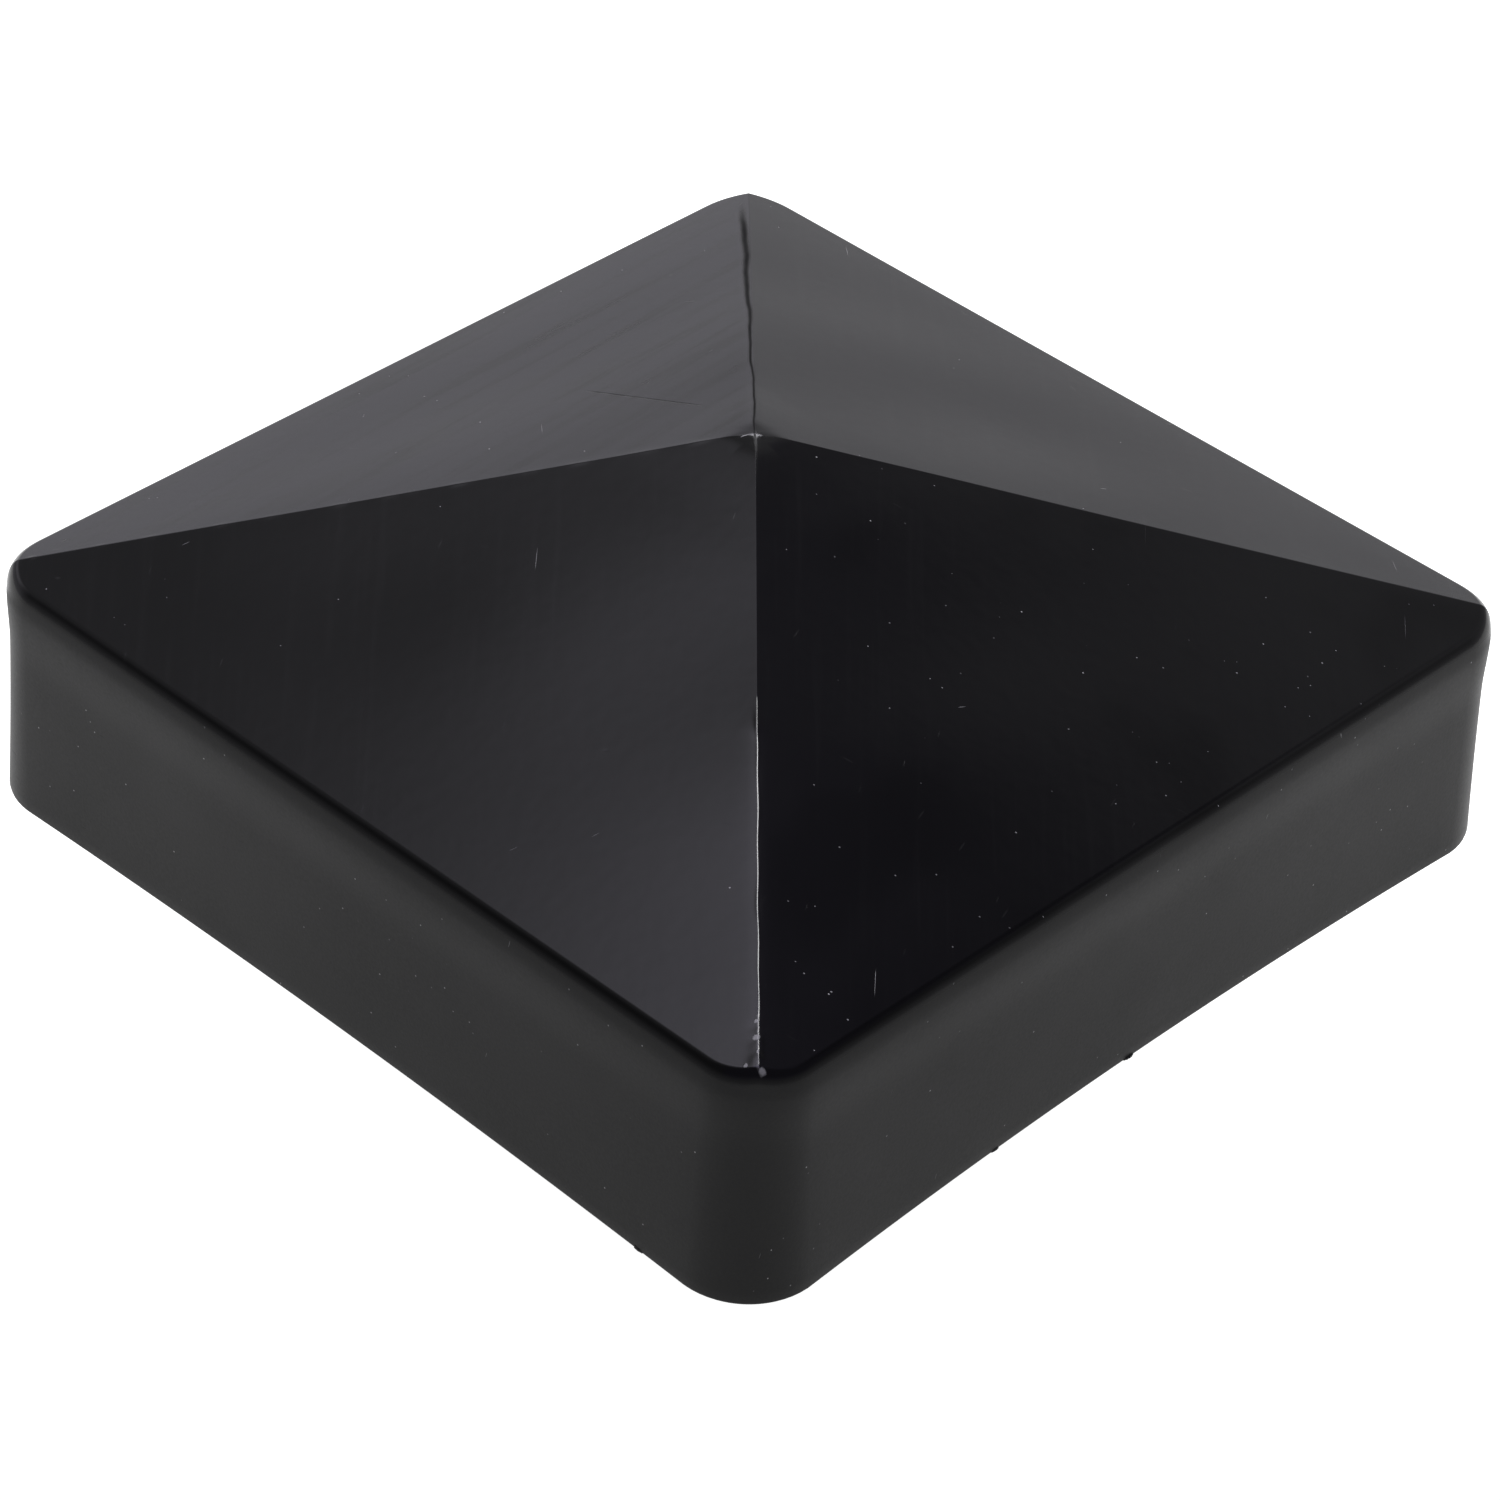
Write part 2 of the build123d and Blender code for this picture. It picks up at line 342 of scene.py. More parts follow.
def roof_height(x, y, drop=0.0):
    """Height of the pyramid's surface, in mm, with its hips barely rounded, the front one a little
    more along its lower half, and with the slight waves that a thin moulded panel has."""
    mean = (np.abs(x) + np.abs(y)) / 2
    gap = (np.abs(x) - np.abs(y)) / 2
    along_front = (x - y) / math.sqrt(2)
    hip_round = 0.004 + 0.22 * ease(along_front, SHARP_HIP, SHARP_HIP + 2)
    blobs = sum(np.exp(-(((along_front - place) / 0.45) ** 2)) for place in BLOB_PLACES)
    hip_round = hip_round + 0.28 * blobs * np.exp(-((gap / 0.45) ** 2))
    hip_round = hip_round + 0.6 * (1 - ease(mean, 0.3, 1.8))
    reach = np.hypot(mean + np.hypot(gap, hip_round), 0.58)
    waves = 0.05 * np.sin(x * 0.11 + 0.6) * np.sin(y * 0.13 + 0.4)
    waves = waves + 0.035 * np.sin(x * 0.19 - y * 0.07) * ease(reach, 4, 14)
    away_from_edge = 1 - ease(reach, 28, 52)
    return APEX - drop - SLOPE * reach + (waves - 0.085) * away_from_edge * ease(reach, 1, 10)


def shell_rings(
    spots, normals, bows, inset, drop, roof_shares, round_out, round_up, rim_radius, detail
):
    """Rings from the rim up the wall, round the shoulder and over the roof to the apex. Returns
    them rim first, as arrays of points in mm, and the point that closes the roof."""
    shoulder_spots = spots - normals * inset
    slope = np.abs(normals).max(1) * SLOPE
    eaves = APEX - drop - SLOPE * np.abs(shoulder_spots).max(1)
    first_turn = math.atan(round_up / round_out * math.tan(DRAFT_ANGLE))
    last_turn = np.arctan(round_up / (round_out * slope))
    foot_out = BEAD + FLARE * (round_up / SHOULDER) ** 1.5
    run_in = round_out * (math.cos(first_turn) - np.cos(last_turn)) - foot_out
    round_foot = eaves + slope * run_in - round_up * np.sin(last_turn)
    wall_top = round_foot + round_up * math.sin(first_turn)

    def wall_point(z):
        out = FLARE * (1 - z / SHOULDER) ** 1.5 - bows * np.clip(1 - z / BOW_TOP, 0, 1) ** 1.05
        out = out + BEAD * ease(z, wall_top - 6.0, wall_top)
        spot = shoulder_spots + normals * out[:, None]
        return np.column_stack([spot, z])

    rings = []
    side = 1.0 if inset == 0 else -1.0
    for turn in np.radians([90, 60, 30, 0]):
        ring = wall_point(np.full(len(spots), rim_radius * (1 - math.sin(turn))))
        ring[:, :2] -= normals * side * rim_radius * (1 - math.cos(turn))
        rings.append(ring)
    for step in np.linspace(0, 1, 21)[1:]:
        rings.append(wall_point(rim_radius + (wall_top - rim_radius) * step))
    start = rings[-1]
    for share in np.linspace(0, 1, ROUND_STEPS + 1)[1:]:
        turn = first_turn + (last_turn - first_turn) * share
        ring = start.copy()
        ring[:, :2] -= normals * (round_out * (math.cos(first_turn) - np.cos(turn)))[:, None]
        ring[:, 2] = round_foot + round_up * np.sin(turn)
        if detail:
            ring[:, 2] += hip_relief(ring[:, 0], ring[:, 1]) * share
        rings.append(ring)
    edge = rings[-1]
    mismatch = edge[:, 2] - roof_height(edge[:, 0], edge[:, 1], drop)
    for share in roof_shares:
        ring = edge.copy()
        ring[:, :2] = edge[:, :2] * (1 - share) + APEX_SHIFT * share
        x, y = (ring[:, :2] - APEX_SHIFT * share).T
        ring[:, 2] = roof_height(x, y, drop) + mismatch * (1 - ease(share, 0, 0.06))
        if detail:
            ring[:, 2] += hip_relief(x, y) * ease(share, 0, 0.01)
        rings.append(ring)
    point = np.array([APEX_SHIFT[0], APEX_SHIFT[1], roof_height(0.0, 0.0, drop)])
    return rings, point


def ring_faces(first, second, count):
    """Quads between two rings of vertices, given where each starts."""
    following = [(i + 1) % count for i in range(count)]
    return [(first + i, first + n, second + n, second + i) for i, n in enumerate(following)]


def new_piece(name, points, faces, body, smooth=True):
    """A mesh from points in mm, riding on a body of the frame."""
    mesh = bpy.data.meshes.new(name)
    mesh.from_pydata([tuple(p * MM) for p in np.asarray(points, float)], [], faces)
    mesh.validate()
    shell = bmesh.new()
    shell.from_mesh(mesh)
    bmesh.ops.recalc_face_normals(shell, faces=shell.faces)
    shell.to_mesh(mesh)
    shell.free()
    mesh.polygons.foreach_set("use_smooth", [smooth] * len(mesh.polygons))
    piece = bpy.data.objects.new(name, mesh)
    scene.collection.objects.link(piece)
    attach(piece, body)
    return piece


def make_cap_moulding():
    """The closed wall of the cap: its outside, the rim, and its inside."""
    arc_steps = [0, 0.9, 1.8, 2.8, 4.0, 5.6, 8, 11, 15, 20, 26, 32, 38.5, 45]
    layout = ring_layout(arc_steps, 38)
    fine_shares = (np.arange(1, 120) / 120) ** 1.5
    coarse_shares = np.arange(1, 24) / 24
    outside, outside_point = shell_rings(
        *layout, inset=0.0, drop=0.0, roof_shares=fine_shares,
        round_out=SHOULDER_OUT, round_up=SHOULDER_UP, rim_radius=0.35, detail=True,
    )
    inside, inside_point = shell_rings(
        *layout, inset=WALL, drop=ROOF_DROP, roof_shares=coarse_shares,
        round_out=INSIDE_ROUND, round_up=INSIDE_ROUND, rim_radius=0.30, detail=False,
    )
    count = len(layout[0])
    points = [outside_point[None]] + outside[::-1] + inside + [inside_point[None]]
    faces = []
    ring_count = len(outside) + len(inside)
    faces += [(0, 1 + i, 1 + (i + 1) % count) for i in range(count)]
    for ring in range(ring_count - 1):
        faces += ring_faces(1 + ring * count, 1 + (ring + 1) * count, count)
    last = 1 + (ring_count - 1) * count
    faces += [(last + (i + 1) % count, last + i, last + count) for i in range(count)]
    piece = new_piece("cap_moulding", np.concatenate(points), faces, "cap")
    inside_start = count + (len(outside) - 1) * count
    for face in piece.data.polygons:
        face.material_index = int(face.index >= inside_start)

    front_hip = 3 * count // 4 + len(arc_steps) - 1
    sharp_rings = int(((1 - fine_shares) * HALF * math.sqrt(2) < SHARP_HIP).sum())
    hip = [0] + [1 + ring * count + front_hip for ring in range(sharp_rings)]
    sharp = {tuple(sorted(pair)) for pair in zip(hip[2:], hip[3:])}
    for edge in piece.data.edges:
        edge.use_edge_sharp = tuple(sorted(edge.vertices)) in sharp
    return piece


def new_finish(name):
    """An empty material, and the value that its nodes start from."""
    material = bpy.data.materials.new(name)
    material.use_nodes = True
    material.node_tree.nodes.clear()
    return material, Value(material.node_tree)


def surface(value, shadowed=None, **sockets):
    """Closes a material with a Principled shader that has these sockets. The shadowed share of it
    is mixed with a near-black matt shader: painted shade, and dullness in the texture's own pits."""
    entries = {}
    for key, entry in sockets.items():
        entries[key.replace("_", " ").title().replace("Ior", "IOR")] = entry
    shader = value.node("BsdfPrincipled", {}, entries)
    if shadowed:
        dull_and_shade = value.node("BsdfDiffuse", {}, {"Color": (0.002, 0.002, 0.002, 1.0)})
        shader = value.node("MixShader", {}, {0: shadowed, 1: shader, 2: dull_and_shade})
    value.node("OutputMaterial", {}, {"Surface": shader})


def place_in_mm(value):
    """Where the point being shaded lies on its piece: x, y and z in mm, and all three joined."""
    parts = [part * 1000 for part in value.node("TexCoord", {}, {}, 3).split()]
    return parts + [value.join(*parts)]


def bumpy(value, height):
    """The surface's normal, from a height in mm."""
    return value.node("Bump", {}, {"Strength": 1.0, "Distance": MM, "Height": height})


def noise(value, place, scale, detail=2.0):
    """Soft noise at this many grains per millimetre."""
    return value.node(
        "TexNoise", {}, {"Vector": place, "Scale": scale, "Detail": detail, "Roughness": 0.55}
    )


def flecks(value, place, size, keep):
    """Small marks, one in some of the cells of a 2-D Voronoi pattern, some strong and most faint:
    size is their reach as a share of a cell, and keep the share of the cells that have one."""
    cells = {"voronoi_dimensions": "2D"}
    distance = value.node("TexVoronoi", cells, {"Vector": place, "Scale": 1.0}, 0)
    chance = value.node("TexVoronoi", cells, {"Vector": place, "Scale": 1.0}, 1).split()[0]
    return distance.fall(size * 0.5, size) * chance.rise(1 - keep, 1)


def plane_place(value, x, y, angle, length, width):
    """Flat coordinates turned by an angle, with cells of this length and width in mm."""
    c, s = math.cos(math.radians(angle)), math.sin(math.radians(angle))
    return value.join((x * c + y * s) / length, (y * c - x * s) / width, 0.0)


def polishing_streaks(value, x, y, z, left_face):
    """Streaks left by polishing the mould: fine ones down the pyramid, and broad ones across its
    left face."""
    fine = noise(value, value.join((x + y) * 0.9, (x - y) * 0.03, z * 0.05), 1.0, 3.0)
    broad = noise(value, value.join(x * 0.55 + y * 0.03, y * 0.035, z * 0.02), 1.0, 3.0)
    return fine.rise(0.50, 0.75) * (1 - left_face), broad.rise(0.42, 0.70) * left_face


def fine_scratches(value, x, y, z):
    """Short light scratches, lying three ways."""
    return (
        flecks(value, plane_place(value, x, y, 23, 7.0, 0.45), 0.10, 0.012)
        + flecks(value, plane_place(value, x, y, -61, 5.0, 0.40), 0.10, 0.012)
        + flecks(value, plane_place(value, x + y, z, 8, 5.0, 0.45), 0.10, 0.020)
    )


def long_scratch(value, x, y):
    """One hairline across the left face, near the back seam."""
    along, across = plane_place(value, x + 18.1, y - 2.4, 4.8, 1.0, 1.0).split()[:2]
    return across.math("ABSOLUTE").fall(0.04, 0.13) * along.band(-6, 6, 2)


def dust_and_lint(value, x, y, z, in_mm, polished, right_face):
    """Specks of dust, thickest on the right face, and a few threads of lint."""
    clusters = noise(value, in_mm, 0.07, 1.0).rise(0.44, 0.66)
    settled = (0.10 + 0.9 * right_face) * (0.35 + 0.65 * clusters)
    settled = settled + clusters * (0 - x).rise(20, 45) * 0.5
    dust = flecks(value, plane_place(value, x, y, 12, 2.6, 2.3), 0.042, settled * 0.16)
    dust = dust + flecks(value, plane_place(value, x, y, 40, 1.2, 1.1), 0.065, settled * 0.035)
    wall_place = plane_place(value, x + y, z, 31, 1.9, 1.7)
    wall_dust = flecks(value, wall_place, 0.06, 0.03 + 0.16 * clusters)
    lint = flecks(value, plane_place(value, x, y, 68, 3.4, 0.34), 0.14, 0.0012) * polished
    lint = lint + flecks(value, plane_place(value, x + y, z, 74, 3.0, 0.34), 0.14, 0.003)
    return (dust * polished * 0.9 + wall_dust * (1 - polished) * 0.9 + lint * 0.5).clamp()


def burr_highlights(value, along, across, z, in_mm):
    """Painted highlights at the front hip's end: frayed pale spots on the burr, and a pale thread
    along it that joins them.
    """
    fray = noise(value, in_mm, 1.7, 2.0) - 0.5
    along = along + fray * 0.5
    across = across + fray * 0.4
    spots = 0
    for spot_along, spot_across, reach in BURR_HIGHLIGHT_SPOTS:
        offset = (along - spot_along).squared() + (across - spot_across).squared()
        spots = spots + offset.fall(0.2 * reach**2, reach**2)
    thread = (across + 0.1).math("ABSOLUTE").fall(0.02, 0.14) * along.band(66, 71, 0.5)
    return (spots * 0.6 + thread * 0.2).clamp() * z.rise(SHOULDER - 0.8, SHOULDER)


def apex_highlight_arc(along, across):
    """A pale arc painted round the point: a painted highlight on the rounded apex."""
    along = along - 1.7
    across = across + 0.9
    arc = ((along.squared() + across.squared()).math("SQRT") - 1.8).math("ABSOLUTE")
    return arc.fall(0.03, 0.12) * along.fall(-1.4, -1.1) * across.band(-0.8, 0.7, 0.35)


def back_seam_and_shade(along, across, z):
    """The mould's seam down the back hip, wider towards the corner. The same mask places the
    painted shade in the seam's crease.
    """
    share = (z - SHOULDER) * (1 / RISE)
    off_middle = across - share * (APEX_SHIFT.sum() * math.sqrt(0.5))
    strays = seam_waver(along, lambda angle: angle.math("SINE"))
    width = 0.20 + 0.40 * along.rise(12, 60)
    return (off_middle + strays).math("ABSOLUTE").fall(0.0, width) * along.band(2, 60, 9)


def make_cap_plastic():
    """Glossy black moulding plastic: polished on the pyramid, satin on the skirt, with the mould's
    seam, scratches from handling, dust, painted highlights at the point and the front hip's end,
    and painted shade."""
    material, value = new_finish("cap_plastic")
    x, y, z, in_mm = place_in_mm(value)
    back_sides = (y - x).rise(-5, 5)
    polished = (z + back_sides * 3.0).rise(SHOULDER - 1.7, SHOULDER - 0.1)
    right_face = (x + y).rise(-1, 3) * (x - y).rise(-1, 3)
    left_face = (0 - x - y).rise(-1, 3) * (y - x).rise(-1, 3)
    fine_streaks, broad_streaks = polishing_streaks(value, x, y, z, left_face)
    cloud = noise(value, in_mm, 0.06, 3.0)
    grain = noise(value, in_mm, 3.2, 2.0)
    scratches = fine_scratches(value, x, y, z)
    hairline = long_scratch(value, x, y)
    along_front, across = (x - y) * math.sqrt(0.5), (x + y) * math.sqrt(0.5)
    seam = back_seam_and_shade((y - x) * math.sqrt(0.5), across, z)
    marks = dust_and_lint(value, x, y, z, in_mm, polished, right_face)
    # Painted highlights join the dust and lint here: pale spots at the front hip's end and a pale
    # arc round the point.
    marks = marks.math("MAXIMUM", burr_highlights(value, along_front, across, z, in_mm))
    marks = marks.math("MAXIMUM", apex_highlight_arc(along_front, across) * 0.55)

    colour = marks.tint((0.0021, 0.0021, 0.0023), (0.36, 0.36, 0.36))
    gloss = 0.12 + 0.05 * cloud + fine_streaks * 0.022 + broad_streaks * 0.13
    satin = 0.34 + 0.12 * cloud + 0.08 * grain
    roughness = satin * (1 - polished) + gloss * polished + scratches * 0.12 + marks * 0.5
    roughness = (roughness + hairline * 0.25 + seam * 0.3).clamp(0.05, 0.9)
    orange_peel = noise(value, in_mm, 0.55, 1.0)
    height = orange_peel * 0.004 + grain * (1 - polished) * 0.008 - scratches * 0.003 + marks * 0.01
    normal = bumpy(value, height - hairline * 0.01)
    # Share mixed with a near-black matt shader: dull patches on the right face, along the streaks
    # and in the grain, painted shade on the left face towards the point and in the back seam's
    # crease, and the darkened hairline.
    dull_patches_and_shade = noise(value, in_mm, 0.045, 2.0).rise(0.45, 0.62) * right_face * 0.14 + 0.05 * grain
    dull_patches_and_shade = dull_patches_and_shade + broad_streaks * 0.07 + left_face * (0 - x).fall(5, 24) * 0.09
    lost = (1 - polished) * 0.10 * grain + polished * dull_patches_and_shade + seam * 0.62 + hairline * 0.22
    surface(value, lost, base_color=colour, roughness=roughness, ior=1.46, normal=normal)
    return material


def make_inside_plastic():
    """The same black plastic as the core side of the mould leaves it: matt, with faint flow
    marks."""
    material, value = new_finish("cap_inside_plastic")
    x, y, z, in_mm = place_in_mm(value)
    cloud = noise(value, in_mm, 0.09, 3.0)
    grain = noise(value, in_mm, 4.5, 2.0)
    flow = noise(value, value.join(x * 0.25, y * 0.25, z * 1.6), 1.0, 3.0)
    colour = cloud.tint((0.004, 0.004, 0.0045), (0.009, 0.009, 0.0095))
    normal = bumpy(value, grain * 0.008 + flow * 0.006)
    surface(value, base_color=colour, roughness=0.46 + 0.14 * cloud, ior=1.49, normal=normal)
    return material


cap_plastic = make_cap_plastic()
inside_plastic = make_inside_plastic()
cap = make_cap_moulding()
cap.data.materials.append(cap_plastic)
cap.data.materials.append(inside_plastic)
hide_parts("cap_shell")


# ---------------------------------------------------------------------------------------------
# Under the cap: four round bosses that hold the pegs, and thin webs joining them in a square.
# They are moulded in one with the cap, so they have its plastic, matt from the mould's core.
# ---------------------------------------------------------------------------------------------

BOSS_PLACE = 24.0  # from the middle, both ways
BORE_END = 33.0
# Radius, height, and whether that height is over the roof's inner face.
BOSS_PROFILE = [
    (2.50, 32.90, False), (2.50, 27.80, False), (2.58, 27.45, False), (2.85, 27.22, False),
    (3.10, 27.20, False), (4.65, 27.20, False), (4.90, 27.29, False), (5.00, 27.55, False),
    (5.06, -1.10, True), (5.20, -0.55, True), (5.50, -0.18, True), (5.95, 0.05, True),
    (5.95, 0.80, True),
]
# Across the web, height, and whether that height is over the roof's inner face.
WEB_PROFILE = [
    (-0.66, 30.40, False), (-0.52, 30.10, False), (-0.25, 30.00, False), (0.25, 30.00, False),
    (0.52, 30.10, False), (0.66, 30.40, False), (0.80, -0.85, True), (0.95, -0.35, True),
    (1.50, 0.05, True), (1.50, 0.80, True), (-1.50, 0.80, True), (-1.50, 0.05, True),
    (-0.95, -0.35, True), (-0.80, -0.85, True),
]


def under_roof(x, y, height, over_roof):
    """The point at this height, or at this height over the roof's inner face."""
    return [x, y, height + (roof_height(x, y, ROOF_DROP) if over_roof else 0.0)]


def make_boss(name, x, y):
    turns = np.radians(np.arange(0, 360, 7.5))
    points = [[x, y, BORE_END]]
    for radius, height, over_roof in BOSS_PROFILE:
        for turn in turns:
            spot = x + radius * math.cos(turn), y + radius * math.sin(turn)
            points.append(under_roof(*spot, height, over_roof))
    points.append(under_roof(x, y, 0.80, True))
    count = len(turns)
    last = 1 + (len(BOSS_PROFILE) - 1) * count
    faces = [(0, 1 + i, 1 + (i + 1) % count) for i in range(count)]
    for ring in range(len(BOSS_PROFILE) - 1):
        faces += ring_faces(1 + ring * count, 1 + (ring + 1) * count, count)
    faces += [(last + i, last + (i + 1) % count, last + count) for i in range(count)]
    return new_piece(name, points, faces, "cap")


def make_bar(name, sections, smooth=False):
    """A closed bar through these sections, each a loop of the same number of points in mm."""
    count = len(sections[0])
    faces = [tuple(range(count))]
    for section in range(len(sections) - 1):
        faces += ring_faces(section * count, (section + 1) * count, count)
    faces.append(tuple(range((len(sections) - 1) * count, len(sections) * count)))
    return new_piece(name, np.concatenate(sections), faces, "cap", smooth)


SIDES = {"front": (0, -1), "right": (1, 0), "back": (0, 1), "left": (-1, 0)}

for side_y, y_name in ((-1, "front"), (1, "back")):
    for side_x, x_name in ((-1, "left"), (1, "right")):
        boss = make_boss(f"boss_{y_name}_{x_name}", side_x * BOSS_PLACE, side_y * BOSS_PLACE)
        boss.data.materials.append(inside_plastic)

for side_name, (side_x, side_y) in SIDES.items():
    sections = []
    for along in np.linspace(-20.5, 20.5, 12):
        section = []
        for across, height, over_roof in WEB_PROFILE:
            reach = BOSS_PLACE + across
            spot = side_x * reach - side_y * along, side_y * reach + side_x * along
            section.append(under_roof(*spot, height, over_roof))
        sections.append(section)
    web = make_bar(f"web_{side_name}", sections, smooth=True)
    web.data.materials.append(inside_plastic)


# ---------------------------------------------------------------------------------------------
# Centring ribs: two short upright ribs inside each wall, chamfered where the post enters. They
# take up the play between the skirt and the post, and are moulded in one with the cap.
# ---------------------------------------------------------------------------------------------

RIB_PLACE = 30.0
RIB_ROOT = 52.1
RIB_HALF_WIDTH = 0.9
# Height up the wall, and how far out the rib's crest is there.
RIB_PROFILE = [
    (2.0, 52.0), (2.6, 51.74), (4.5, 50.60), (5.0, 50.38), (5.6, 50.30), (13.5, 50.30),
    (13.85, 50.42), (14.0, 50.8),
]
# Round the rib: how far back from the crest, and across it as a share of half its width.
RIB_ROUND = [
    (9, 1), (0.40, 1), (0.12, 0.88), (0, 0.60), (0, -0.60), (0.12, -0.88), (0.40, -1), (9, -1),
]


def rib_section(side_x, side_y, place, height, crest):
    """One level loop round a rib: flat flanks and a softly rounded crest."""
    loop = []
    for back_off, across in RIB_ROUND:
        reach = min(crest + back_off, RIB_ROOT)
        along = place + across * RIB_HALF_WIDTH
        loop.append([side_x * reach - side_y * along, side_y * reach + side_x * along, height])
    return loop


for side_name, (side_x, side_y) in SIDES.items():
    for number, place in ((1, -RIB_PLACE), (2, RIB_PLACE)):
        sections = [rib_section(side_x, side_y, place, *level) for level in RIB_PROFILE]
        rib = make_bar(f"centring_rib_{side_name}_{number}", sections)
        rib.data.materials.append(inside_plastic)


# ---------------------------------------------------------------------------------------------
# Flash: small torn slivers of the cap's own plastic, squeezed out on the skirt's rim where the
# two halves of the mould closed, and never trimmed off.
# ---------------------------------------------------------------------------------------------


def make_flash(name, side, place, length, height, seed):
    """A thin ragged fin standing out of the rim's lower edge."""
    side_x, side_y = SIDES[side]
    rim = HALF + FLARE - (BOW_X if side_x else BOW_Y) * (1 - (place / (HALF - CORNER)) ** 2)
    ragged = np.random.default_rng(seed)
    sections = []
    for share in np.linspace(0, 1, 9):
        along = place + (share - 0.5) * length
        stand = height * math.sin(math.pi * share) * ragged.uniform(0.6, 1.0) + 0.03
        loop = []
        tip = [(stand, 0.14), (stand * 0.9, 0.30)]
        for out, up in [(-0.35, 0.10), (0.0, 0.08)] + tip + [(0.0, 0.46), (-0.35, 0.5)]:
            reach = rim + out - 0.02
            loop.append([side_x * reach - side_y * along, side_y * reach + side_x * along, up])
        sections.append(loop)
    flash = make_bar(name, sections)
    flash.data.materials.append(cap_plastic)


make_flash("flash_right_1", "right", -1.0, 1.3, 0.20, 4)
make_flash("flash_right_2", "right", -20.0, 0.9, 0.10, 5)
make_flash("flash_front_1", "front", 40.0, 1.0, 0.08, 6)


# ---------------------------------------------------------------------------------------------
# The pegs: four stainless pins, turned and chamfered, pressed into the cap's bosses. The cap
# is pushed on and pulled off by them.
# ---------------------------------------------------------------------------------------------


def soften(piece, width):
    """Breaks a piece's sharp edges, as a mould does, and hardens the normals beside them."""
    edges = piece.modifiers.new("broken_edges", "BEVEL")
    edges.width = width * MM
    edges.segments = 2
    edges.limit_method = "ANGLE"
    edges.angle_limit = math.radians(35)
    edges.harden_normals = True


def dress(names, material, broken_edge):
    """Gives CAD pieces a finish, and breaks their sharp edges."""
    for name in names:
        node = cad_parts[name]
        if not node.material_slots:
            node.data.materials.append(material)
        for entry in node.material_slots:
            entry.material = material
        joined = node.modifiers.new("joined_faces", "WELD")
        joined.merge_threshold = 0.002 * MM
        soften(node, broken_edge)


def at_corners(kind):
    return [f"{kind}_{end}_{side}" for end in ("front", "back") for side in ("left", "right")]


def make_turned_steel():
    """Turned stainless steel: fine rings round the pin from the tool, and faint rubs down it from
    the rubber that grips it."""
    material, value = new_finish("peg_steel")
    x, y, z, in_mm = place_in_mm(value)
    rings = noise(value, value.join(x * 0.05, y * 0.05, z * 9.0), 1.0, 3.0)
    rubs = noise(value, value.join(x * 3.0, y * 3.0, z * 0.15), 1.0, 3.0)
    film = noise(value, in_mm, 0.5, 2.0)
    colour = film.tint((0.46, 0.45, 0.43), (0.60, 0.59, 0.57))
    roughness = 0.20 + 0.16 * rings + 0.16 * rubs.rise(0.5, 0.7)
    normal = bumpy(value, rings * 0.012 + rubs * 0.003)
    surface(value, base_color=colour, metallic=1.0, roughness=roughness, normal=normal)
    return material


dress(at_corners("peg"), make_turned_steel(), 0.08)


# ---------------------------------------------------------------------------------------------
# The fixing plate: a ribbed plate in dark grey plastic, screwed down to the post's end. Its
# upper face has the fine texture of a spark-eroded mould.
# ---------------------------------------------------------------------------------------------


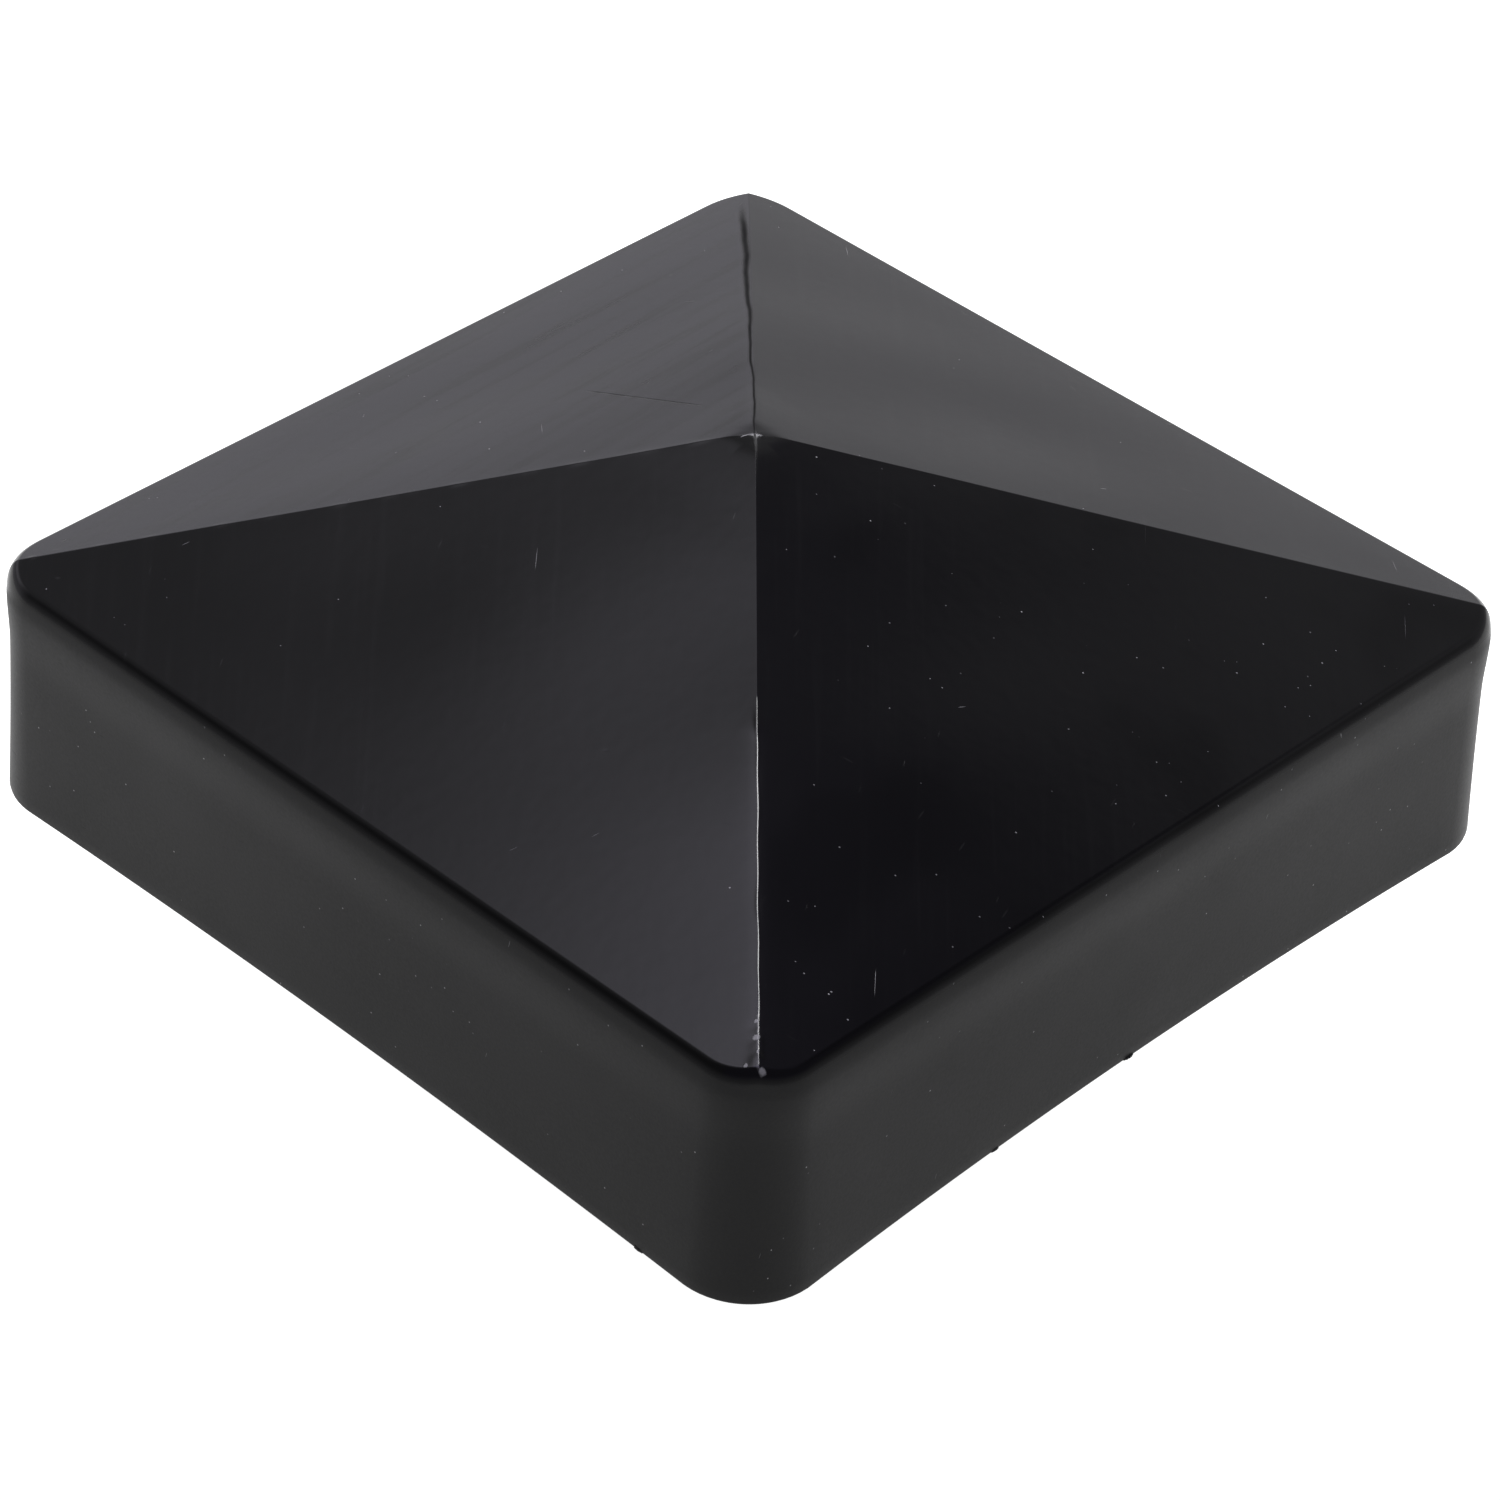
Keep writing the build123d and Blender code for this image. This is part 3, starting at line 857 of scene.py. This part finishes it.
def make_plate_plastic():
    material, value = new_finish("plate_plastic")
    x, y, z, in_mm = place_in_mm(value)
    texture = noise(value, in_mm, 2.6, 3.0)
    pits = flecks(value, plane_place(value, x, y, 17, 0.9, 0.8), 0.30, 0.25)
    cloud = noise(value, in_mm, 0.07, 3.0)
    flow = noise(value, value.join(x * 0.05, y * 0.4, z * 0.4), 1.0, 3.0)
    scuffs = flecks(value, plane_place(value, x, y, 52, 7.0, 0.5), 0.12, 0.06)
    colour = (cloud * 0.7 + flow * 0.3).tint((0.020, 0.021, 0.023), (0.036, 0.037, 0.040))
    roughness = 0.46 + 0.16 * texture + 0.08 * cloud - 0.12 * scuffs
    height = texture * 0.022 - pits * 0.012 - scuffs * 0.006
    normal = bumpy(value, height)
    surface(value, base_color=colour, roughness=roughness, ior=1.49, normal=normal)
    return material


dress(["fixing_plate"], make_plate_plastic(), 0.18)


# ---------------------------------------------------------------------------------------------
# The gasket: a flat sheet of closed-cell rubber, die-cut, between the plate and the post. It
# evens out a rough-sawn post end and keeps water out of the screw holes.
# ---------------------------------------------------------------------------------------------


def make_gasket_rubber():
    material, value = new_finish("gasket_rubber")
    in_mm = place_in_mm(value)[-1]
    cells = value.node("TexVoronoi", {"feature": "F1"}, {"Vector": in_mm, "Scale": 2.4}, 0)
    open_cells = cells.fall(0.18, 0.42)
    skin = noise(value, in_mm, 0.9, 3.0)
    bloom = noise(value, in_mm, 0.05, 4.0).rise(0.45, 0.70)
    colour = (bloom * 0.6 + skin * 0.3).tint((0.012, 0.012, 0.012), (0.036, 0.035, 0.033))
    roughness = 0.66 + 0.20 * skin + 0.08 * open_cells
    height = skin * 0.02 - open_cells * 0.05
    normal = bumpy(value, height)
    surface(value, base_color=colour, roughness=roughness, ior=1.45, normal=normal)
    return material


dress(["plate_gasket"], make_gasket_rubber(), 0.12)


# ---------------------------------------------------------------------------------------------
# The grommets: soft black rubber sleeves snapped into the plate's turrets. They grip the pegs
# and stop the cap rattling. A mould seam runs up each side, and talc dulls them.
# ---------------------------------------------------------------------------------------------


def make_grommet_rubber():
    material, value = new_finish("grommet_rubber")
    x, y, z, in_mm = place_in_mm(value)
    skin = noise(value, in_mm, 1.6, 3.0)
    talc = noise(value, in_mm, 0.5, 3.0).rise(0.50, 0.75)
    seam = (y.math("ABSOLUTE") - BOSS_PLACE).math("ABSOLUTE").fall(0.04, 0.14)
    colour = talc.tint((0.010, 0.010, 0.010), (0.040, 0.040, 0.039))
    roughness = 0.48 + 0.14 * skin + 0.22 * talc
    height = skin * 0.012 + seam * 0.05
    normal = bumpy(value, height)
    surface(value, base_color=colour, roughness=roughness, ior=1.5, normal=normal)
    return material


dress(at_corners("grommet"), make_grommet_rubber(), 0.12)
